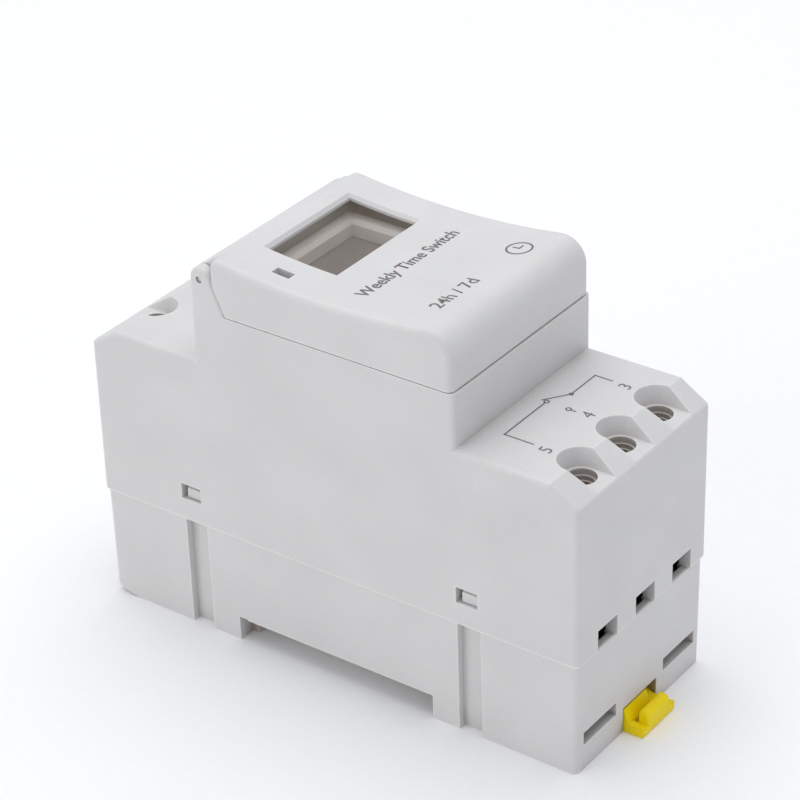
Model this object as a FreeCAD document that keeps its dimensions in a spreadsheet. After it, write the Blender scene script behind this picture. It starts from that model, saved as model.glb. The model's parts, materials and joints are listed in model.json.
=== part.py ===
"""A two-module digital timer for a 35 mm DIN rail, in millimetres.

X runs along the device, from the supply terminals (-X) to the relay terminals and the rail clip (+X).
Y runs along the rail. Z points out of the front. The origin is the middle of the rail seat.
"""
import FreeCAD, Part
import math
import os
import Sketcher

os.makedirs("parts", exist_ok=True)
doc = FreeCAD.newDocument("din_rail_timer")
Vector = FreeCAD.Vector


# ---------------------------------------------------------------- sizes and expressions

class Size:
    """A length or angle that knows its number and the spreadsheet expression that it comes from."""

    def __init__(self, value, text):
        self.value = value
        self.text = text

    def __add__(self, other):
        other = as_size(other)
        return Size(self.value + other.value, f"({self.text} + {other.text})")

    def __sub__(self, other):
        other = as_size(other)
        return Size(self.value - other.value, f"({self.text} - {other.text})")

    def __mul__(self, other):
        other = as_size(other)
        return Size(self.value * other.value, f"({self.text} * {other.text})")

    def __truediv__(self, other):
        other = as_size(other)
        return Size(self.value / other.value, f"({self.text} / {other.text})")

    def __neg__(self):
        return Size(-self.value, f"(0 - {self.text})")

    def __radd__(self, other):
        return as_size(other) + self

    def __rsub__(self, other):
        return as_size(other) - self

    def __rmul__(self, other):
        return as_size(other) * self


def as_size(thing):
    if isinstance(thing, Size):
        return thing
    return Size(float(thing), f"({float(thing)!r})")


def cosine(angle):
    return Size(math.cos(math.radians(angle.value)), f"cos({angle.text})")


def sine(angle):
    return Size(math.sin(math.radians(angle.value)), f"sin({angle.text})")


def tangent(angle):
    return Size(math.tan(math.radians(angle.value)), f"tan({angle.text})")


def arc_tangent(rise, run):
    """The angle, in degrees, whose tangent is rise over run."""
    angle = math.degrees(math.atan2(rise.value, run.value))
    return Size(angle, f"atan({rise.text} / {run.text})")


def square_root(size):
    return Size(math.sqrt(size.value), f"sqrt({size.text})")


sheet = doc.addObject("Spreadsheet::Sheet", "dims")
sheet_row = 0


def driving(alias, value, meaning):
    """Puts one driving dimension in the sheet and returns it as a Size."""
    global sheet_row
    sheet_row += 1
    sheet.set(f"A{sheet_row}", str(value))
    sheet.setAlias(f"A{sheet_row}", alias)
    sheet.set(f"B{sheet_row}", meaning)
    return Size(float(value), f"dims.{alias}")


# Outer form
length = driving("length", 86.7, "overall length of the housing")
width = driving("width", 35.0, "two modules along the rail")
wall = driving("wall", 1.8, "housing wall")
foot_drop = driving("foot_drop", 4.05, "feet below the rail seat")
seam = driving("seam", 14.85, "height of the seam between base and front housing")
base_inset = driving("base_inset", 0.3, "base housing inside the front housing's outline")
seam_round = driving("seam_round", 0.3, "rounded edges that meet at the seam")
base_draft = driving("base_draft", 0.4, "draft of the base housing, degrees")
corner_radius = driving("corner_radius", 1.0, "upright outer corners")
edge_radius = driving("edge_radius", 0.8, "edges of the terminal decks")
deck = driving("deck", 43.85, "height of the terminal decks")
slope_run = driving("slope_run", 4.8, "length of the slope at each end of the decks")
slope_drop = driving("slope_drop", 3.0, "fall of that slope")
neck_left = driving("neck_left", -23.1, "hinge side of the neck")
neck_right = driving("neck_right", 22.95, "latch side of the neck")
rim = driving("rim", 52.75, "rim of the neck, under the lid")
# Hinge and lid
pin_across = driving("pin_across", -21.25, "hinge axis")
pin_height = driving("pin_height", 57.75, "hinge axis")
pin_radius = driving("pin_radius", 0.45, "hinge stubs")
pin_play = driving("pin_play", 0.13, "radial clearance of the hinge stubs")
pin_recess = driving("pin_recess", 0.4, "ends of the stubs, under the outer faces of the ears")
ear_radius = driving("ear_radius", 1.85, "round top of the hinge ears, and the hinge barrel")
ear_slant = driving("ear_slant", 26.1, "slant of the ear's inner edge, degrees from upright")
seam_gap = driving("seam_gap", 0.15, "gap between lid and housing")
lid_end = driving("lid_end", 22.65, "latch end of the lid")
lid_low = driving("lid_low", 60.25, "lowest line of the lid's dipped top")
lid_dip = driving("lid_dip", 128.0, "radius of the dip")
lid_corner = driving("lid_corner", 4.0, "rounded latch end of the lid")
lid_brow = driving("lid_brow", 1.5, "rounded hinge end of the lid")
lid_skin = driving("lid_skin", 1.6, "lid wall")
lid_edge_radius = driving("lid_edge_radius", 1.1, "long edges of the lid")
window_across = driving("window_across", -9.05, "middle of the display window")
window_along = driving("window_along", 1.0, "middle of the display window")
window_length = driving("window_length", 12.1, "display window, from hinge to latch")
window_width = driving("window_width", 19.6, "display window, along the rail")
window_bevel = driving("window_bevel", 0.53, "bevel round the window")
pane_border = driving("pane_border", 1.0, "hidden border of the window pane")
pane_top = driving("pane_top", 1.02, "depth of the pane under the lid's top")
pane_thickness = driving("pane_thickness", 1.18, "window pane")
light_across = driving("light_across", -8.95, "middle of the status light")
light_along = driving("light_along", -13.3, "middle of the status light")
light_length = driving("light_length", 3.1, "opening over the status light")
light_width = driving("light_width", 1.6, "opening over the status light")
# Terminals
screw_across = driving("screw_across", 38.85, "terminal screws from the middle")
recess_across = driving("recess_across", 38.6, "funnels from the middle")
recess_floor = driving("recess_floor", 41.15, "floor of the funnels")
recess_top = driving("recess_top", 3.35, "radius of a funnel at the deck")
recess_bottom = driving("recess_bottom", 2.45, "radius of a funnel at its floor")
well_radius = driving("well_radius", 2.2, "mouth of a screwdriver well")
well_step = driving("well_step", 0.3, "each of the two steps that narrow a well")
relay_terminal_pitch = driving("relay_terminal_pitch", 10.05, "pitch of the three relay terminals")
relay_terminal_offset = driving("relay_terminal_offset", 0.4, "middle relay terminal from the middle")
supply_terminal_pitch = driving("supply_terminal_pitch", 15.0, "pitch of the two supply terminals")
entry_width = driving("entry_width", 5.14, "wire entry")
entry_height = driving("entry_height", 3.6, "wire entry")
partition = driving("partition", 1.2, "partitions between the terminals")
well_wall = driving("well_wall", 1.1, "wall of the screwdriver wells")
cage_half = driving("cage_half", 2.2, "half of a clamp cage, along the wire")
thread_radius = driving("thread_radius", 1.5, "M3 clamping screw")
head_radius = driving("head_radius", 2.3, "screw head")
head_bottom = driving("head_bottom", 24.4, "underside of the screw heads")
head_height = driving("head_height", 2.2, "screw head")
bar_bottom = driving("bar_bottom", 18.6, "underside of the contact bars")
bar_thickness = driving("bar_thickness", 0.8, "contact bar")
cage_bottom = driving("cage_bottom", 13.5, "open clamp cages stand at this height")
# Rail and clip
slot_half = driving("slot_half", 18.0, "half of the rail slot")
hook_reach = driving("hook_reach", 1.2, "fixed hook and clip nose under the rail's edges")
hook_top = driving("hook_top", -1.5, "upper side of the hook, under the rail's edge")
clip_half = driving("clip_half", 4.35, "half of the clip's width")
clip_gap = driving("clip_gap", 0.25, "clearance of the clip in its channel")
clip_tab = driving("clip_tab", 46.3, "end of the clip's pull tab")
seat_relief = driving("seat_relief", 0.2, "relief over the hook, the nose and the clip")
# Inside
panel_bottom = driving("panel_bottom", 51.4, "underside of the front panel")
panel_thickness = driving("panel_thickness", 1.2, "front panel")
lcd_face = driving("lcd_face", 54.95, "face of the display glass")
lcd_thickness = driving("lcd_thickness", 1.8, "display glass")
bezel_top = driving("bezel_top", 57.6, "top of the frame round the display")
bezel_bevel_bottom = driving("bezel_bevel_bottom", 57.0, "foot of that frame's bevel")
upper_board = driving("upper_board", 46.8, "underside of the display board")
lower_board = driving("lower_board", 11.4, "underside of the main board")
board_thickness = driving("board_thickness", 1.6, "both circuit boards")
button_radius = driving("button_radius", 1.9, "push buttons")
button_top = driving("button_top", 54.5, "top of the push buttons")
display_length = driving("display_length", 9.9, "visible display, from hinge to latch")
display_width = driving("display_width", 17.4, "visible display, along the rail")
bezel_slope = driving("bezel_slope", 42.0, "slope of the bevel round the display, degrees")
bezel_edge = driving("bezel_edge", 0.5, "outer edge of the frame round the display")
soft_edge = driving("soft_edge", 0.35, "edges of the button caps and of the pull tab")
head_edge = driving("head_edge", 0.3, "edge of the terminal screws' heads")
doc.recompute()

half_length = length / 2
half_width = width / 2
upper_top = upper_board + board_thickness
lower_top = lower_board + board_thickness
panel_top = panel_bottom + panel_thickness
relay_rows = [relay_terminal_offset + relay_terminal_pitch * step for step in (-1, 0, 1)]
supply_rows = [supply_terminal_pitch * step for step in (-0.5, 0.5)]
# The relay terminals are 3, 4 and 5, as on their deck. The supply terminals are called 1 and 2 here.
TERMINALS = {
    1: (-1, supply_rows[0]),
    2: (-1, supply_rows[1]),
    3: (1, relay_rows[2]),
    4: (1, relay_rows[1]),
    5: (1, relay_rows[0]),
}
# Middles of the snap hooks and their windows
SNAP_PLACES = (24.65, -25.65)
# Middles of the grooves down the sides of the base
GROOVE_PLACES = (24.75, -25.25)
# Middles of the front panel's bosses, which the screws of the display board enter
BOSSES = [(across, along) for across in (-18.6, 18.6) for along in (-12.4, 12.4)]
# How deep the mouth of a well, its step and its bore reach under the floor of the funnel
WELL_DEPTHS = (1.0, 1.7, 15.0)
# Push buttons: name, place from the hinge towards the latch, place along the rail, radius
BUTTONS = {
    "button_day": (6.2, -11.1, 1.0),
    "button_hour": (6.2, -3.7, 1.0),
    "button_minute": (6.2, 3.7, 1.0),
    "button_program": (6.2, 11.1, 1.0),
    "button_clock": (14.6, -9.0, 1.0),
    "button_manual": (14.6, 0.0, 1.0),
    "button_reset": (14.6, 9.0, 0.6),
}


# ---------------------------------------------------------------- sketches

class Arc:
    """A corner of an outline that is reached by an arc. bend is 1 where the centre is on the left, else -1."""

    def __init__(self, across, up, radius, bend):
        self.point = (across, up)
        self.radius = as_size(radius)
        self.bend = bend


def corner(item):
    across, up = item.point if isinstance(item, Arc) else item
    return as_size(across), as_size(up)


def arc_edge(start, end, radius, bend):
    chord = end - start
    middle = (start + end) * 0.5
    left = Vector(-chord.y, chord.x, 0).normalize()
    reach = math.sqrt(max(radius ** 2 - (chord.Length / 2) ** 2, 0.0))
    centre = middle + left * (bend * reach)
    through = centre - left * (bend * radius)
    return Part.Arc(start, through, end)


def fix_point(sketch, geometry, place, across, up):
    """Ties a point of the sketch to its place, by the sheet."""
    for size, kind, axis in ((across, "DistanceX", -2), (up, "DistanceY", -1)):
        if abs(size.value) < 1e-9:
            sketch.addConstraint(Sketcher.Constraint("PointOnObject", geometry, place, axis))
            continue
        index = sketch.addConstraint(Sketcher.Constraint(kind, -1, 1, geometry, place, size.value))
        sketch.setExpression(f"Constraints[{index}]", size.text)


def draw_outline(sketch, items):
    """Draws one closed outline of straight lines and arcs."""
    first = sketch.GeometryCount
    count = len(items)
    points = [Vector(across.value, up.value, 0) for across, up in map(corner, items)]
    for index in range(count):
        target = items[(index + 1) % count]
        start = points[index]
        end = points[(index + 1) % count]
        if isinstance(target, Arc):
            edge = arc_edge(start, end, target.radius.value, target.bend)
        else:
            edge = Part.LineSegment(start, end)
        sketch.addGeometry(edge)
    ends = []
    for index in range(count):
        target = items[(index + 1) % count]
        backwards = isinstance(target, Arc) and target.bend < 0
        ends.append((2, 1) if backwards else (1, 2))
    for index in range(count):
        follower = (index + 1) % count
        sketch.addConstraint(Sketcher.Constraint(
            "Coincident", first + index, ends[index][1], first + follower, ends[follower][0]))
    for index, item in enumerate(items):
        fix_point(sketch, first + index, ends[index][0], *corner(item))
    for index in range(count):
        target = items[(index + 1) % count]
        if isinstance(target, Arc):
            radius = Sketcher.Constraint("Radius", first + index, target.radius.value)
            sketch.setExpression(f"Constraints[{sketch.addConstraint(radius)}]", target.radius.text)


def draw_circle(sketch, across, up, radius):
    across, up, radius = as_size(across), as_size(up), as_size(radius)
    circle = Part.Circle(Vector(across.value, up.value, 0), Vector(0, 0, 1), radius.value)
    index = sketch.addGeometry(circle)
    fix_point(sketch, index, 3, across, up)
    limit = sketch.addConstraint(Sketcher.Constraint("Radius", index, radius.value))
    sketch.setExpression(f"Constraints[{limit}]", radius.text)


class Circle:
    def __init__(self, across, up, radius):
        self.sizes = (across, up, radius)


def rectangle(low_across, high_across, low_up, high_up):
    return [(low_across, low_up), (high_across, low_up), (high_across, high_up), (low_across, high_up)]


def rounded(low_across, high_across, low_up, high_up, radius):
    """A rectangle with round corners."""
    return [
        Arc(low_across + radius, low_up, radius, 1),
        (high_across - radius, low_up),
        Arc(high_across, low_up + radius, radius, 1),
        (high_across, high_up - radius),
        Arc(high_across - radius, high_up, radius, 1),
        (low_across + radius, high_up),
        Arc(low_across, high_up - radius, radius, 1),
        (low_across, low_up + radius),
    ]


# ---------------------------------------------------------------- features

NODES = {}
PLANES = {"XY": ("XY_Plane", 1), "XZ": ("XZ_Plane", -1), "YZ": ("YZ_Plane", 1)}


def node(thing, name):
    """Names a finished sub-part, which is written to a file of that name."""
    thing.Label = name
    NODES[name] = thing
    return thing


def bind(thing, **sizes):
    for name, size in sizes.items():
        thing.setExpression(name, as_size(size).text)


def new_body(name):
    return node(doc.addObject("PartDesign::Body", name), name)


def add_sketch(body, plane, offset, shapes):
    role, _ = PLANES[plane]
    sketch = body.newObject("Sketcher::SketchObject", f"{body.Name}_sketch")
    support = [feature for feature in body.Origin.OriginFeatures if feature.Role == role][0]
    sketch.AttachmentSupport = [(support, "")]
    sketch.MapMode = "FlatFace"
    sketch.setExpression("AttachmentOffset.Base.z", offset.text)
    for shape in shapes:
        if isinstance(shape, Circle):
            draw_circle(sketch, *shape.sizes)
        else:
            draw_outline(sketch, shape)
    return sketch


def sweep(body, kind, plane, low, high, shapes, taper=None):
    """A pad or pocket of the shapes, between two places on the plane's own normal."""
    low, high = as_size(low), as_size(high)
    _, side = PLANES[plane]
    sketch = add_sketch(body, plane, low if side > 0 else -high, shapes)
    feature = body.newObject(f"PartDesign::{kind}", f"{body.Name}_{kind.lower()}")
    feature.Profile = sketch
    feature.Reversed = kind == "Pocket"
    bind(feature, Length=high - low)
    if taper is not None:
        bind(feature, TaperAngle=taper)
    sketch.Visibility = False
    return feature


def pad(body, plane, low, high, *shapes, taper=None):
    feature = sweep(body, "Pad", plane, low, high, shapes, taper)
    doc.recompute()
    return feature


def pocket(body, plane, low, high, *shapes, taper=None):
    """Cuts the shapes out of the body, and stops if nothing was cut."""
    before = body.Shape.Volume
    feature = sweep(body, "Pocket", plane, low, high, shapes, taper)
    doc.recompute()
    if not feature.Shape.isNull() and feature.Shape.Volume > before - 1e-6:
        raise RuntimeError(f"{feature.Name} cuts nothing")
    return feature


def dress(body, kind, size, wanted):
    """Fillets or chamfers the edges of the body for which wanted(edge) is true."""
    tip = body.Tip
    names = [f"Edge{i}" for i, edge in enumerate(tip.Shape.Edges, 1) if wanted(edge)]
    if not names:
        raise RuntimeError(f"{body.Name} has no such edges to {kind.lower()}")
    feature = body.newObject(f"PartDesign::{kind}", f"{body.Name}_{kind.lower()}")
    feature.Base = (tip, names)
    bind(feature, **{"Radius" if kind == "Fillet" else "Size": size})
    doc.recompute()
    return feature


def near(number, size, slack=0.02):
    return abs(number - as_size(size).value) < slack


def upright(edge):
    """True for an edge that runs along Z."""
    box = edge.BoundBox
    return box.XLength < 0.01 and box.YLength < 0.01 and box.ZLength > 0.1


def flat_side(edge, half):
    """True for an edge that lies in one of the two side planes Y = -half and Y = +half."""
    box = edge.BoundBox
    return box.YLength < 0.01 and near(abs(box.YMin), half)


def place(thing, across, along, up):
    """Puts an object at a point given by the sheet."""
    for letter, size in zip("xyz", (across, along, up)):
        thing.setExpression(f"Placement.Base.{letter}", as_size(size).text)


def block(name, across, along, up):
    """A box between three pairs of low and high sizes."""
    thing = doc.addObject("Part::Box", name)
    pairs = [(as_size(low), as_size(high)) for low, high in (across, along, up)]
    spans = [high - low for low, high in pairs]
    bind(thing, Length=spans[0], Width=spans[1], Height=spans[2])
    place(thing, *[low for low, _ in pairs])
    return thing


def rod(name, across, along, up, radius, reach, axis="Z"):
    """A cylinder from a point, along X, Y or Z."""
    thing = doc.addObject("Part::Cylinder", name)
    bind(thing, Radius=radius, Height=reach)
    turns = {"X": (Vector(0, 1, 0), 90), "Y": (Vector(1, 0, 0), -90), "Z": (Vector(0, 0, 1), 0)}
    thing.Placement = FreeCAD.Placement(Vector(0, 0, 0), FreeCAD.Rotation(*turns[axis]))
    place(thing, across, along, up)
    return thing


def fused(name, *things):
    thing = doc.addObject("Part::MultiFuse", name)
    thing.Shapes = list(things)
    return thing


def without(name, base, *tools):
    """The base with the tools cut out of it."""
    thing = doc.addObject("Part::Cut", name)
    thing.Base = base
    thing.Tool = tools[0] if len(tools) == 1 else fused(f"{name}_tools", *tools)
    return thing


def softened(name, base, radius):
    """The base with all its edges filleted."""
    doc.recompute()
    thing = doc.addObject("Part::Fillet", name)
    thing.Base = base
    thing.Edges = [(index, radius, radius) for index in range(1, len(base.Shape.Edges) + 1)]
    return thing


def several(name, things):
    """Identical or paired pieces that share one node as separate solids."""
    thing = doc.addObject("Part::Compound", name)
    thing.Links = list(things)
    return thing


# ---------------------------------------------------------------- front housing

def ear_point(distance):
    """The point on the slanted edge's foot, at a distance from the hinge axis."""
    return pin_across + distance * cosine(ear_slant), pin_height + distance * sine(ear_slant)


def elbow_point(distance, height):
    """Where the slanted edge, at a distance from the hinge axis, reaches a height."""
    run = (distance - (height - pin_height) * sine(ear_slant)) / cosine(ear_slant)
    return pin_across + run, as_size(height)


def side_outline():
    """The housing from the side: decks, slopes, neck and hinge ear."""
    slope_bottom = deck - slope_drop
    return [
        (-half_length, seam),
        (half_length, seam),
        (half_length, slope_bottom),
        (half_length - slope_run, deck),
        (neck_right, deck),
        (neck_right, rim),
        elbow_point(ear_radius, rim),
        ear_point(ear_radius),
        Arc(neck_left, pin_height, ear_radius, 1),
        (neck_left, deck),
        (slope_run - half_length, deck),
        (-half_length, slope_bottom),
    ]


def cavity_outline():
    """The hollow of the front housing from the side, open at the seam and at the neck."""
    slope_bottom = deck - slope_drop - wall * 0.8
    end = half_length - wall - 0.2
    roof = deck - wall
    return [
        (-end, seam - 1.0),
        (end, seam - 1.0),
        (end, slope_bottom),
        (half_length - slope_run, roof),
        (neck_right - wall + 0.2, roof),
        (neck_right - wall + 0.2, pin_height + 3.0),
        (neck_left + wall - 0.2, pin_height + 3.0),
        (neck_left + wall - 0.2, roof),
        (slope_run - half_length, roof),
        (-end, slope_bottom),
    ]


def funnel_outline(side, row):
    """A screw recess seen from the front: round towards the neck, straight out over the slope."""
    out = side * (half_length + 2.0)
    middle = side * recess_across
    round_end = middle - side * recess_bottom
    start, end = row - side * recess_bottom, row + side * recess_bottom
    return [
        (out, end),
        (middle, end),
        Arc(round_end, row, recess_bottom, 1),
        Arc(middle, start, recess_bottom, 1),
        (out, start),
    ]


def make_front_housing():
    body = new_body("front_housing")
    pad(body, "XZ", -half_width, half_width, side_outline())
    dress(body, "Fillet", corner_radius, lambda e: upright(e) and near(abs(e.BoundBox.XMin), half_length))
    dress(body, "Fillet", edge_radius, deck_edge)
    dress(body, "Fillet", seam_round, seam_edge)
    inner = half_width - wall
    pocket(body, "XZ", -inner, inner, cavity_outline())
    # The hinge barrel turns in this gap between the ears.
    pocket(body, "XZ", -inner, inner, rectangle(
        neck_left - 1.0, neck_left + wall, pin_height - ear_radius - 0.45, pin_height + 3.0))
    make_terminal_wells(body)
    # Windows that show the snap hooks
    pocket(body, "XZ", -half_width - 1.0, half_width + 1.0, *[
        rectangle(middle - 1.85, middle + 1.85, seam + 3.8, seam + 6.4) for middle in SNAP_PLACES])
    # Shelves under the corners of the front panel
    for side in (-1, 1):
        pad(body, "XZ", *ordered(side * (inner - 0.9), side * (inner + 0.1)), *[
            rectangle(low, high, panel_bottom - 1.6, panel_bottom)
            for low, high in ((-20.5, -12.5), (9.0, 20.5))])
    # Bearing holes of the lid's stubs
    pocket(body, "XZ", -half_width - 1.0, half_width + 1.0,
           Circle(pin_across, pin_height, pin_radius + pin_play))


def make_terminal_wells(body):
    """Screwdriver wells, partitions, funnels and wire entries of the five terminals."""
    wells = [(side, row) for side, row in TERMINALS.values()]
    under_deck = deck - wall + 0.1
    pad(body, "XY", bar_bottom + 8.3, under_deck, *[
        Circle(side * screw_across, row, well_radius + well_wall) for side, row in wells])
    gaps = [(-1, as_size(0.0))] + [(1, relay_terminal_offset + relay_terminal_pitch * step)
                                   for step in (-0.5, 0.5)]
    for side, gap in gaps:
        pad(body, "XZ", gap - partition / 2, gap + partition / 2, partition_outline(side, under_deck))
    flare = arc_tangent(recess_top - recess_bottom, deck - recess_floor)
    pocket(body, "XY", recess_floor, deck + 0.4, *[
        funnel_outline(side, row) for side, row in wells], taper=flare)
    for step, depth in enumerate(WELL_DEPTHS):
        pocket(body, "XY", recess_floor - depth, recess_floor + 0.5, *[
            Circle(side * screw_across, row, well_radius - well_step * step) for side, row in wells])
    for side in (-1, 1):
        pocket(body, "YZ", *ordered(side * (half_length - 3.0), side * (half_length + 1.0)), *[
            rectangle(row - entry_width / 2, row + entry_width / 2, seam - 1.0, seam + entry_height)
            for end, row in wells if end == side])


def partition_outline(side, under_deck):
    """A partition between two terminals from the side, under the deck and its slope."""
    inner_edge = 33.0
    points = [
        (inner_edge, seam),
        (half_length - wall, seam),
        (half_length - wall, deck - slope_drop),
        (half_length - slope_run, under_deck),
        (inner_edge, under_deck),
    ]
    return points if side > 0 else [(-across, up) for across, up in reversed(points)]


def ordered(first, second):
    """Two sizes, the lower one first."""
    first, second = as_size(first), as_size(second)
    return (first, second) if first.value < second.value else (second, first)


def deck_edge(edge):
    """The rounded edges of the decks, slopes and neck corners."""
    box = edge.BoundBox
    if box.ZMin < (deck - slope_drop).value - 0.1:
        return False
    along_side = flat_side(edge, half_width) and box.ZMax < deck.value + 0.01 and box.XLength > 0.3
    across_end = near(abs(box.XMin), half_length) and box.XLength < 0.01 and box.YLength > 5
    neck_corner = upright(edge) and near(box.ZMin, deck)
    return along_side or across_end or neck_corner


def seam_edge(edge):
    """The outer edges that a housing half turns to the seam."""
    box = edge.BoundBox
    return near(box.ZMin, seam) and near(box.ZMax, seam)


# ---------------------------------------------------------------- base housing

def make_base_housing():
    body = new_body("base_housing")
    long_half = half_length - base_inset
    side_half = half_width - base_inset
    # Drawn at the feet, where the draft has narrowed the outline, and widening up to the seam.
    narrowing = (seam + foot_drop) * tangent(base_draft)
    pad(body, "XY", -foot_drop, seam, rounded(
        narrowing - long_half, long_half - narrowing, narrowing - side_half, side_half - narrowing,
        corner_radius), taper=base_draft)
    dress(body, "Fillet", seam_round, seam_edge)
    inner_long = half_length - wall - 0.4
    inner_side = half_width - wall - 0.2
    pocket(body, "XY", 1.6, seam + 1.0, rounded(
        -inner_long, inner_long, -inner_side, inner_side, 0.8))
    corners = [(side, row) for side in (-1, 1) for row in (-1, 1)]
    # The feet are hollow on both sides of the clip's channel.
    pocket(body, "XY", -foot_drop + 1.8, 2.0, *[rounded(
        *ordered(side * (slot_half + 2.0), side * (inner_long - 0.4)),
        *ordered(row * 6.7, row * (inner_side - 0.4)), 0.6) for side, row in corners])
    make_rail_slot(body)
    grooves = [rectangle(middle - 2.0, middle + 2.0, -foot_drop - 1.0, seam + 1.0)
               for middle in GROOVE_PLACES]
    backs = [rectangle(middle - 3.4, middle + 3.4, 1.0, seam) for middle in GROOVE_PLACES]
    tongues = [rectangle(middle - 1.9, middle + 1.9, seam - 4.0, seam + 6.9) for middle in SNAP_PLACES]
    for side in (-1, 1):
        # The inner pads keep the wall sound behind the side grooves, and carry the snap tongues.
        pad(body, "XZ", *ordered(side * (inner_side - 1.7), side * (inner_side + 0.1)), *backs)
        pocket(body, "XZ", *ordered(side * (half_width - 1.7), side * (half_width + 1.0)), *grooves)
        pad(body, "XZ", *ordered(side * (inner_side - 1.4), side * (inner_side - 0.15)), *tongues)
    for middle in SNAP_PLACES:
        pad(body, "YZ", middle - 1.1, middle + 1.75, *[
            snap_hook(side, inner_side - 0.3) for side in (-1, 1)])
    make_clip_channel(body)
    # Shelves on which the open clamp cages stand, and posts under the main board
    pad(body, "XY", 11.9, cage_bottom - 0.1, *[rectangle(
        *ordered(side * 33.5, side * (inner_long + 0.1)), -inner_side - 0.1, inner_side + 0.1)
        for side in (-1, 1)])
    pad(body, "XY", 1.0 - foot_drop, lower_board, *[rectangle(
        *ordered(side * 25.5, side * 29.0), *ordered(row * 10.5, row * 13.4)) for side, row in corners])
    # The wall is thin under the wire entries.
    entry_sill = 1.55
    for side in (-1, 1):
        pocket(body, "XY", cage_bottom - 0.1, seam + 1.0, *[rectangle(
            *ordered(side * (inner_long - 0.3), side * (half_length - entry_sill)),
            row - entry_width / 2, row + entry_width / 2)
            for end, row in TERMINALS.values() if end == side])
    # Slots in the ends, into the hollow feet
    for side in (-1, 1):
        pocket(body, "YZ", *ordered(side * (inner_long - 1.4), side * (half_length + 1.0)), *[rectangle(
            *ordered(row * 6.45, row * 15.2), 0.25, 2.45) for row in (-1, 1)])


def make_rail_slot(body):
    """The slot for the rail, with its fixed hook, and the rounded heel of the hinge-side foot."""
    relief_end = hook_reach - slot_half + 0.3
    pocket(body, "XZ", -half_width - 1.0, half_width + 1.0, rectangle(
        -slot_half, relief_end, -0.5, seat_relief))
    pocket(body, "XZ", -half_width - 1.0, half_width + 1.0, [
        (-slot_half, 0.0),
        (-slot_half, hook_top),
        (hook_reach - slot_half, hook_top - 0.4),
        (hook_reach - slot_half, -foot_drop - 1.0),
        (slot_half, -foot_drop - 1.0),
        (slot_half, 0.0),
    ])
    # The hook stops short of the sides.
    for side in (-1, 1):
        pocket(body, "XZ", *ordered(side * (half_width - 3.4), side * (half_width + 1.0)), rectangle(
            -slot_half, hook_reach - slot_half + 0.5, -foot_drop - 1.0, hook_top + 0.5))
    heel_run, heel_rise, heel_radius = 5.4, 1.9, 12.0
    pocket(body, "XZ", -half_width - 1.0, half_width + 1.0, [
        (-half_length - 1.0, -foot_drop - 1.0),
        (heel_run - half_length, -foot_drop - 1.0),
        (heel_run - half_length, -foot_drop),
        Arc(-half_length, heel_rise - foot_drop, heel_radius, -1),
        (-half_length - 1.0, heel_rise - foot_drop),
    ])


def snap_hook(side, root):
    """A hook on a snap tongue, which shows in the window of the front housing."""
    tip = root + 1.75
    bottom = seam + 3.95
    outline = [
        (side * root, seam + 6.3),
        (side * root, bottom),
        (side * tip, bottom),
        (side * tip, seam + 5.5),
    ]
    return outline if side > 0 else outline[::-1]


def make_clip_channel(body):
    """The clip slides in this channel under the latch-side foot, held by a groove in each wall.

    The inner ends of the grooves stop the clip's flanges."""
    half = clip_half + clip_gap
    nose = slot_half - hook_reach
    pocket(body, "YZ", nose - 0.3, half_length + 1.0, rectangle(-half, half, -foot_drop - 1.0, seat_relief))
    pocket(body, "YZ", slot_half + 1.8, half_length - 3.6, rectangle(-half - 1.0, half + 1.0, -2.75, -1.25))


# ---------------------------------------------------------------- rail clip

def make_rail_clip():
    body = new_body("rail_clip")
    nose = slot_half - hook_reach
    plate_top = -1.55
    foot_top = 1.5 - foot_drop
    lip_top = 3.6 - foot_drop
    lip = clip_tab - 1.6
    # Plate with the nose that reaches under the rail's edge
    pad(body, "XZ", -clip_half, clip_half, [
        (nose, -2.0),
        (nose, -2.5),
        (nose + 1.55, -foot_drop),
        (clip_tab - 0.4, -foot_drop),
        Arc(clip_tab, 0.4 - foot_drop, 0.4, 1),
        (clip_tab, lip_top - 0.9),
        Arc(clip_tab - 0.9, lip_top, 0.9, 1),
        (lip, lip_top),
        (lip, foot_top),
        (half_length - 0.6, foot_top),
        (half_length - 2.6, plate_top),
        (nose + 0.6, plate_top),
    ])
    # The lip of the pull tab is narrower than its foot.
    lip_half = 2.95
    pocket(body, "YZ", lip - 0.5, clip_tab + 1.0, *[rectangle(
        *ordered(side * lip_half, side * (clip_half + 1.0)), foot_top, lip_top + 1.0) for side in (-1, 1)])
    dress(body, "Fillet", soft_edge, tab_edge)
    # Raised block that closes the channel at the face of the housing
    block_top = -0.25
    pad(body, "XZ", -clip_half, 1.8, [
        (half_length - 6.5, plate_top - 0.5),
        (half_length + 0.4, plate_top - 1.2),
        (half_length + 0.4, foot_top + 0.1),
        (half_length - 0.4, block_top),
        (half_length - 6.5, block_top),
    ])
    # Guide flanges in the channel's grooves
    pad(body, "XY", -2.5, plate_top, rectangle(
        slot_half + 2.0, half_length - 9.0, -clip_half - 0.8, clip_half + 0.8))
    # Two spring legs, moulded on, left by a slot on each side
    for side in (-1, 1):
        pocket(body, "XY", -foot_drop - 1.0, 1.0, rounded(
            slot_half + 6.0, half_length - 8.0, *ordered(side * 1.6, side * 3.1), 0.5))
    # Eye for a screwdriver's tip, just outside the housing
    pocket(body, "XY", -foot_drop - 1.0, foot_top + 0.5, rounded(
        half_length + 0.45, lip - 0.1, -3.0, 1.4, 0.25))


def tab_edge(edge):
    """The upper edges of the pull tab."""
    box = edge.BoundBox
    return box.XMin > (clip_tab - 1.65).value and near(box.ZMax, 3.6 - foot_drop) and box.ZLength < 0.9


# ---------------------------------------------------------------- lid

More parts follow.
